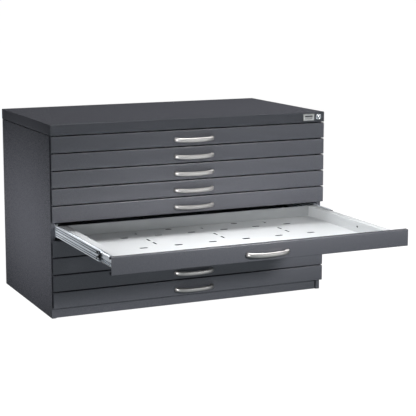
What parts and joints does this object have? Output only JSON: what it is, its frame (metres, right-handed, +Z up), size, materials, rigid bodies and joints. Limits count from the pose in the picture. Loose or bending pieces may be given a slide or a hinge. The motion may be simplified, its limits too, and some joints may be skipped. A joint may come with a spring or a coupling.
{
  "type": "flat file cabinet",
  "caption": "Low wide steel plan chest for flat sheets, with a stack of shallow full-extension drawers, bow handles, telescopic slides, a plinth and a cylinder lock.",
  "frame": {"origin": "centre of the closed cabinet's footprint, on the underside of the base pan, at floor level", "axes": "+Z up; the drawer fronts face -Y and the drawers open towards -Y; +X runs to the right along the fronts, as seen from in front of them"},
  "size_m": [1.19, 1.3489, 0.76],
  "materials": {
    "graphite_paint": "satin graphite-grey powder coat with a fine texture",
    "light_grey_paint": "smooth light-grey powder coat",
    "zinc_plate": "rolled zinc-plated steel",
    "satin_nickel": "satin",
    "chrome": "polished"
  },
  "bodies": {
    "cabinet": {"side_panel_left": "graphite_paint", "side_panel_right": "graphite_paint", "back_panel": "graphite_paint", "base_pan": "graphite_paint", "top_cover": "graphite_paint", "rail_frame_left": "zinc_plate", "rail_frame_right": "zinc_plate", "lock_housing": "chrome", "label_holder": "satin_nickel"},
    "drawer_01": {"drawer_tray_01": "light_grey_paint", "drawer_front_01": "graphite_paint", "handle_01": "satin_nickel"},
    "slide_left_01": {"slide_left_01": "zinc_plate"},
    "slide_right_01": {"slide_right_01": "zinc_plate"},
    "drawer_02": {"drawer_tray_02": "light_grey_paint", "drawer_front_02": "graphite_paint", "handle_02": "satin_nickel"},
    "slide_left_02": {"slide_left_02": "zinc_plate"},
    "slide_right_02": {"slide_right_02": "zinc_plate"},
    "drawer_03": {"drawer_tray_03": "light_grey_paint", "drawer_front_03": "graphite_paint", "handle_03": "satin_nickel"},
    "slide_left_03": {"slide_left_03": "zinc_plate"},
    "slide_right_03": {"slide_right_03": "zinc_plate"},
    "drawer_04": {"drawer_tray_04": "light_grey_paint", "drawer_front_04": "graphite_paint", "handle_04": "satin_nickel"},
    "slide_left_04": {"slide_left_04": "zinc_plate"},
    "slide_right_04": {"slide_right_04": "zinc_plate"},
    "drawer_05": {"drawer_tray_05": "light_grey_paint", "drawer_front_05": "graphite_paint", "handle_05": "satin_nickel"},
    "slide_left_05": {"slide_left_05": "zinc_plate"},
    "slide_right_05": {"slide_right_05": "zinc_plate"},
    "drawer_06": {"drawer_tray_06": "light_grey_paint", "drawer_front_06": "graphite_paint", "handle_06": "satin_nickel"},
    "slide_left_06": {"slide_left_06": "zinc_plate"},
    "slide_right_06": {"slide_right_06": "zinc_plate"},
    "drawer_07": {"drawer_tray_07": "light_grey_paint", "drawer_front_07": "graphite_paint", "handle_07": "satin_nickel"},
    "slide_left_07": {"slide_left_07": "zinc_plate"},
    "slide_right_07": {"slide_right_07": "zinc_plate"},
    "drawer_08": {"drawer_tray_08": "light_grey_paint", "drawer_front_08": "graphite_paint", "handle_08": "satin_nickel"},
    "slide_left_08": {"slide_left_08": "zinc_plate"},
    "slide_right_08": {"slide_right_08": "zinc_plate"},
    "drawer_09": {"drawer_tray_09": "light_grey_paint", "drawer_front_09": "graphite_paint", "handle_09": "satin_nickel"},
    "slide_left_09": {"slide_left_09": "zinc_plate"},
    "slide_right_09": {"slide_right_09": "zinc_plate"},
    "drawer_10": {"drawer_tray_10": "light_grey_paint", "drawer_front_10": "graphite_paint", "handle_10": "satin_nickel"},
    "slide_left_10": {"slide_left_10": "zinc_plate"},
    "slide_right_10": {"slide_right_10": "zinc_plate"},
    "lock_plug": {"lock_plug": "chrome"}
  },
  "joints": [
    {"name": "drawer_01_slide", "type": "slide", "parent": "cabinet", "child": "drawer_01", "axis": [0, -1, 0], "range_m": [0, 0.645]},
    {"name": "slide_left_01_travel", "type": "slide", "parent": "cabinet", "child": "slide_left_01", "axis": [0, -1, 0], "range_m": [0, 0.4902]},
    {"name": "slide_right_01_travel", "type": "slide", "parent": "cabinet", "child": "slide_right_01", "axis": [0, -1, 0], "range_m": [0, 0.129]},
    {"name": "drawer_02_slide", "type": "slide", "parent": "cabinet", "child": "drawer_02", "axis": [0, -1, 0], "range_m": [0, 0.645]},
    {"name": "slide_left_02_travel", "type": "slide", "parent": "cabinet", "child": "slide_left_02", "axis": [0, -1, 0], "range_m": [0, 0.4902]},
    {"name": "slide_right_02_travel", "type": "slide", "parent": "cabinet", "child": "slide_right_02", "axis": [0, -1, 0], "range_m": [0, 0.129]},
    {"name": "drawer_03_slide", "type": "slide", "parent": "cabinet", "child": "drawer_03", "axis": [0, -1, 0], "range_m": [0, 0.645]},
    {"name": "slide_left_03_travel", "type": "slide", "parent": "cabinet", "child": "slide_left_03", "axis": [0, -1, 0], "range_m": [0, 0.4902]},
    {"name": "slide_right_03_travel", "type": "slide", "parent": "cabinet", "child": "slide_right_03", "axis": [0, -1, 0], "range_m": [0, 0.129]},
    {"name": "drawer_04_slide", "type": "slide", "parent": "cabinet", "child": "drawer_04", "axis": [0, -1, 0], "range_m": [0, 0.645]},
    {"name": "slide_left_04_travel", "type": "slide", "parent": "cabinet", "child": "slide_left_04", "axis": [0, -1, 0], "range_m": [0, 0.4902]},
    {"name": "slide_right_04_travel", "type": "slide", "parent": "cabinet", "child": "slide_right_04", "axis": [0, -1, 0], "range_m": [0, 0.129]},
    {"name": "drawer_05_slide", "type": "slide", "parent": "cabinet", "child": "drawer_05", "axis": [0, -1, 0], "range_m": [0, 0.645]},
    {"name": "slide_left_05_travel", "type": "slide", "parent": "cabinet", "child": "slide_left_05", "axis": [0, -1, 0], "range_m": [0, 0.4902]},
    {"name": "slide_right_05_travel", "type": "slide", "parent": "cabinet", "child": "slide_right_05", "axis": [0, -1, 0], "range_m": [0, 0.129]},
    {"name": "drawer_06_slide", "type": "slide", "parent": "cabinet", "child": "drawer_06", "axis": [0, -1, 0], "range_m": [-0.645, 0]},
    {"name": "slide_left_06_travel", "type": "slide", "parent": "cabinet", "child": "slide_left_06", "axis": [0, -1, 0], "range_m": [-0.4902, 0]},
    {"name": "slide_right_06_travel", "type": "slide", "parent": "cabinet", "child": "slide_right_06", "axis": [0, -1, 0], "range_m": [-0.129, 0]},
    {"name": "drawer_07_slide", "type": "slide", "parent": "cabinet", "child": "drawer_07", "axis": [0, -1, 0], "range_m": [0, 0.645]},
    {"name": "slide_left_07_travel", "type": "slide", "parent": "cabinet", "child": "slide_left_07", "axis": [0, -1, 0], "range_m": [0, 0.4902]},
    {"name": "slide_right_07_travel", "type": "slide", "parent": "cabinet", "child": "slide_right_07", "axis": [0, -1, 0], "range_m": [0, 0.129]},
    {"name": "drawer_08_slide", "type": "slide", "parent": "cabinet", "child": "drawer_08", "axis": [0, -1, 0], "range_m": [0, 0.645]},
    {"name": "slide_left_08_travel", "type": "slide", "parent": "cabinet", "child": "slide_left_08", "axis": [0, -1, 0], "range_m": [0, 0.4902]},
    {"name": "slide_right_08_travel", "type": "slide", "parent": "cabinet", "child": "slide_right_08", "axis": [0, -1, 0], "range_m": [0, 0.129]},
    {"name": "drawer_09_slide", "type": "slide", "parent": "cabinet", "child": "drawer_09", "axis": [0, -1, 0], "range_m": [0, 0.645]},
    {"name": "slide_left_09_travel", "type": "slide", "parent": "cabinet", "child": "slide_left_09", "axis": [0, -1, 0], "range_m": [0, 0.4902]},
    {"name": "slide_right_09_travel", "type": "slide", "parent": "cabinet", "child": "slide_right_09", "axis": [0, -1, 0], "range_m": [0, 0.129]},
    {"name": "drawer_10_slide", "type": "slide", "parent": "cabinet", "child": "drawer_10", "axis": [0, -1, 0], "range_m": [0, 0.645]},
    {"name": "slide_left_10_travel", "type": "slide", "parent": "cabinet", "child": "slide_left_10", "axis": [0, -1, 0], "range_m": [0, 0.4902]},
    {"name": "slide_right_10_travel", "type": "slide", "parent": "cabinet", "child": "slide_right_10", "axis": [0, -1, 0], "range_m": [0, 0.129]},
    {"name": "lock_turn", "type": "hinge", "parent": "cabinet", "child": "lock_plug", "pos_m": [0.567, -0.3363, 0.73908], "axis": [0, -1, 0], "range_deg": [-90, 0]}
  ],
  "couplings": [
    {"joint": "slide_left_01_travel", "follows": "drawer_01_slide", "ratio": 0.76},
    {"joint": "slide_right_01_travel", "follows": "drawer_01_slide", "ratio": 0.2},
    {"joint": "slide_left_02_travel", "follows": "drawer_02_slide", "ratio": 0.76},
    {"joint": "slide_right_02_travel", "follows": "drawer_02_slide", "ratio": 0.2},
    {"joint": "slide_left_03_travel", "follows": "drawer_03_slide", "ratio": 0.76},
    {"joint": "slide_right_03_travel", "follows": "drawer_03_slide", "ratio": 0.2},
    {"joint": "slide_left_04_travel", "follows": "drawer_04_slide", "ratio": 0.76},
    {"joint": "slide_right_04_travel", "follows": "drawer_04_slide", "ratio": 0.2},
    {"joint": "slide_left_05_travel", "follows": "drawer_05_slide", "ratio": 0.76},
    {"joint": "slide_right_05_travel", "follows": "drawer_05_slide", "ratio": 0.2},
    {"joint": "slide_left_06_travel", "follows": "drawer_06_slide", "ratio": 0.76},
    {"joint": "slide_right_06_travel", "follows": "drawer_06_slide", "ratio": 0.2},
    {"joint": "slide_left_07_travel", "follows": "drawer_07_slide", "ratio": 0.76},
    {"joint": "slide_right_07_travel", "follows": "drawer_07_slide", "ratio": 0.2},
    {"joint": "slide_left_08_travel", "follows": "drawer_08_slide", "ratio": 0.76},
    {"joint": "slide_right_08_travel", "follows": "drawer_08_slide", "ratio": 0.2},
    {"joint": "slide_left_09_travel", "follows": "drawer_09_slide", "ratio": 0.76},
    {"joint": "slide_right_09_travel", "follows": "drawer_09_slide", "ratio": 0.2},
    {"joint": "slide_left_10_travel", "follows": "drawer_10_slide", "ratio": 0.76},
    {"joint": "slide_right_10_travel", "follows": "drawer_10_slide", "ratio": 0.2}
  ]
}
